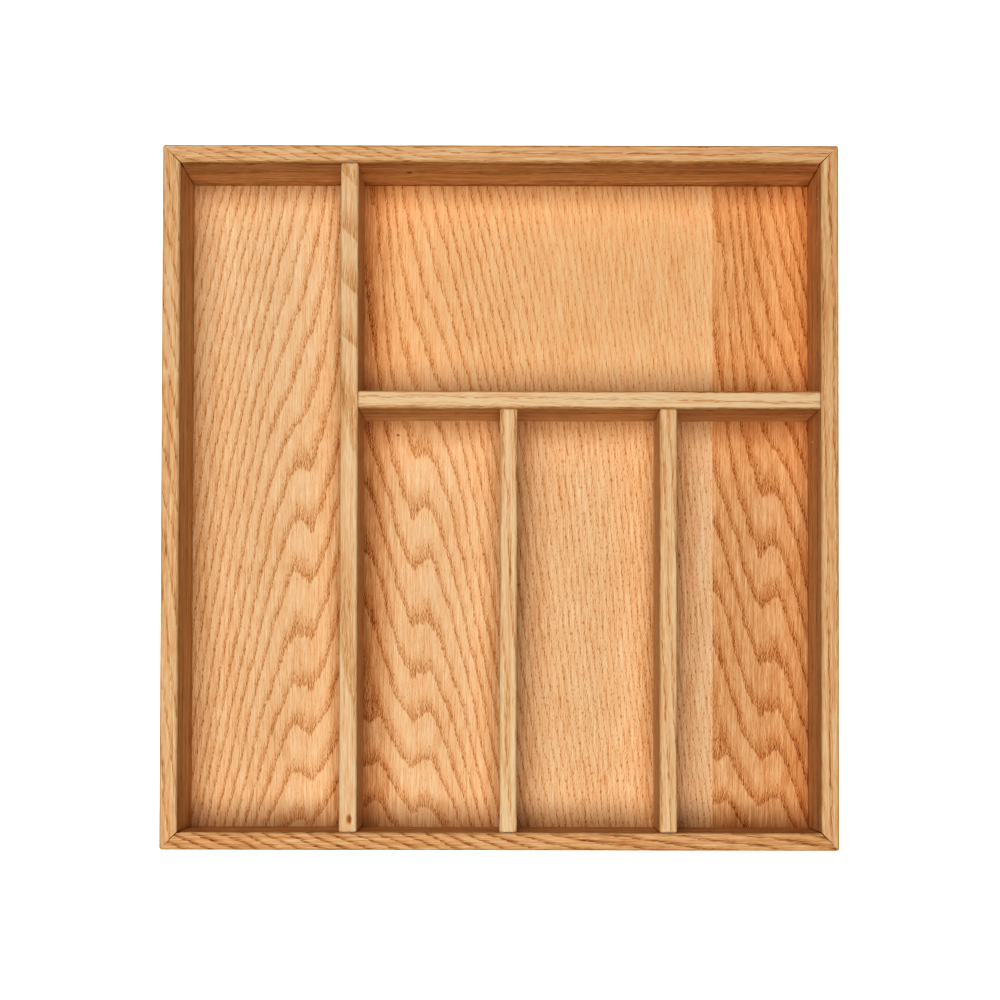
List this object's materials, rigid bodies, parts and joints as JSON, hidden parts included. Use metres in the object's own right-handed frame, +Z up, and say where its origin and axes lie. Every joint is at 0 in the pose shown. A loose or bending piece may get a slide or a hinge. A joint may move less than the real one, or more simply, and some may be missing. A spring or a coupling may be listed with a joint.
{
  "type": "drawer organizer insert",
  "caption": "Rectangular open oak tray that sits in a drawer and is split by fixed wooden dividers into long, wide and narrow compartments.",
  "frame": {"origin": "middle of the underside, where the insert rests on the drawer's floor", "axes": "+Z up, +Y towards the back of the drawer, +X to the right"},
  "size_m": [0.45, 0.469, 0.05],
  "materials": {
    "oak_rail": "solid oak, clear satin lacquer",
    "oak_divider": "solid oak, clear satin lacquer",
    "oak_veneer": "crown-cut oak veneer, clear satin lacquer",
    "backing_veneer": "plain oak backing veneer, thinly sealed",
    "panel_core": "raw fibreboard core",
    "beech": "raw beech"
  },
  "bodies": {
    "root": {"back_rail": "oak_rail", "front_rail": "oak_rail", "left_rail": "oak_rail", "right_rail": "oak_rail", "long_divider": "oak_divider", "cross_divider": "oak_divider", "short_divider_left": "oak_divider", "short_divider_right": "oak_divider", "face_veneer_left": "oak_veneer", "face_veneer_middle": "oak_veneer", "face_veneer_right": "oak_veneer", "bottom_core": "panel_core", "backing_veneer": "backing_veneer", "mitre_spline_back_left": "beech", "mitre_spline_back_right": "beech", "mitre_spline_front_left": "beech", "mitre_spline_front_right": "beech", "dowels_long_divider_back": "beech", "dowels_long_divider_front": "beech", "dowels_cross_divider_left": "beech", "dowels_cross_divider_right": "beech", "dowels_short_divider_left_back": "beech", "dowels_short_divider_left_front": "beech", "dowels_short_divider_right_back": "beech", "dowels_short_divider_right_front": "beech"}
  },
  "joints": []
}
